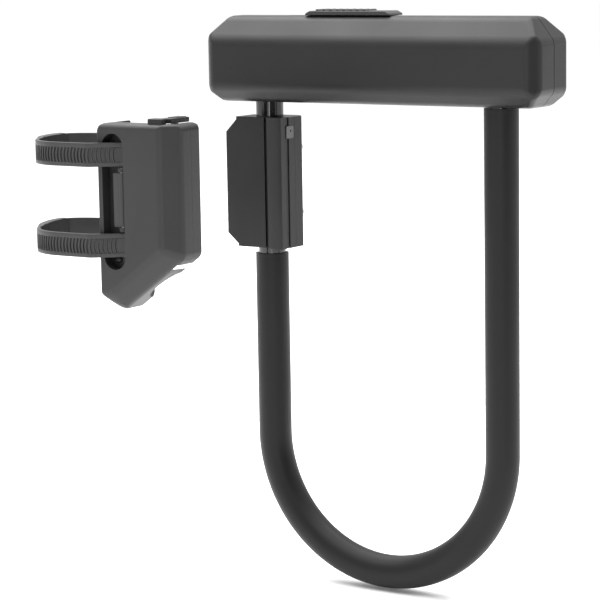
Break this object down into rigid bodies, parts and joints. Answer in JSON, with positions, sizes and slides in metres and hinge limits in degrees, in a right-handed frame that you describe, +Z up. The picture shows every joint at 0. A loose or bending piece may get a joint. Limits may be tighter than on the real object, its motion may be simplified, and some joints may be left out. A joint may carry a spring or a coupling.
{
  "type": "bicycle u lock",
  "caption": "Shackle lock with a bent coated steel bar, a removable chamfered crossbar holding the lock, a leg clip, and a strap-on frame bracket.",
  "frame": {"origin": "on the axis of the bicycle frame tube that the bracket is strapped to, midway between the two straps", "axes": "+Z up along the frame tube, +X along the crossbar from the clipped leg to the other leg, +Y from the bracket towards the lock"},
  "size_m": [0.2277, 0.1375, 0.293],
  "materials": {
    "case_plastic": "fine satin moulded",
    "cover_plastic": "fine satin moulded",
    "clip_plastic": "grained moulded",
    "bracket_plastic": "fine grained moulded",
    "strap_plastic": "satin ridged",
    "bushing_plastic": "smooth",
    "coat_rubber": "matt smooth",
    "pad_rubber": "matt",
    "plug_rubber": "matt",
    "bar_steel": "black phosphated",
    "case_steel": "hardened",
    "screw_steel": "zinc",
    "brass": "turned"
  },
  "bodies": {
    "bracket": {"bracket_front_shell": "bracket_plastic", "bracket_rear_shell": "bracket_plastic", "bracket_screws": "screw_steel", "saddle_pad": "pad_rubber", "strap_upper": "strap_plastic", "strap_lower": "strap_plastic", "release_pin": "screw_steel"},
    "release_lever": {"strap_release": "bracket_plastic"},
    "latch": {"dock_latch": "cover_plastic"},
    "shackle": {"shackle_bar": "bar_steel", "shackle_coat": "coat_rubber", "clip_front": "clip_plastic", "clip_rear": "clip_plastic", "clip_screws": "screw_steel", "clip_screw_plug": "plug_rubber"},
    "crossbar": {"crossbar_front_shell": "case_plastic", "crossbar_rear_shell": "case_plastic", "shell_screws": "screw_steel", "hardened_case": "case_steel", "case_end_plugs": "case_steel", "shackle_bushings": "bushing_plastic", "cylinder_housing": "brass", "drill_plate": "case_steel"},
    "cover": {"keyhole_cover": "cover_plastic"},
    "plug": {"key_plug": "brass", "bolt_cam": "case_steel", "plug_clip": "screw_steel"},
    "left_bolt": {"bolt_left": "case_steel"},
    "right_bolt": {"bolt_right": "case_steel"}
  },
  "joints": [
    {"name": "lock_dock", "type": "slide", "parent": "bracket", "child": "shackle", "axis": [0, -1, 0], "range_m": [0, 0.09]},
    {"name": "crossbar_pull", "type": "slide", "parent": "shackle", "child": "crossbar", "axis": [0, 0, 1], "range_m": [0, 0.045]},
    {"name": "cover_slide", "type": "slide", "parent": "crossbar", "child": "cover", "axis": [-1, 0, 0], "range_m": [0, 0.02]},
    {"name": "key_turn", "type": "hinge", "parent": "crossbar", "child": "plug", "pos_m": [0.11255, 0.0995, 0.07], "axis": [0, 0, 1], "range_deg": [0, 90]},
    {"name": "left_bolt_slide", "type": "slide", "parent": "crossbar", "child": "left_bolt", "axis": [-1, 0, 0], "range_m": [0, 0.0055]},
    {"name": "right_bolt_slide", "type": "slide", "parent": "crossbar", "child": "right_bolt", "axis": [1, 0, 0], "range_m": [0, 0.0055]},
    {"name": "latch_press", "type": "slide", "parent": "bracket", "child": "latch", "axis": [0, 0, -1], "range_m": [0, 0.003]},
    {"name": "strap_release_turn", "type": "hinge", "parent": "bracket", "child": "release_lever", "pos_m": [0.0333, -0.0091, 0], "axis": [0, 0, 1], "range_deg": [0, 15]}
  ],
  "couplings": [
    {"joint": "left_bolt_slide", "follows": "key_turn", "m_per_rad": 0.0031831},
    {"joint": "right_bolt_slide", "follows": "key_turn", "m_per_rad": 0.0031831}
  ]
}
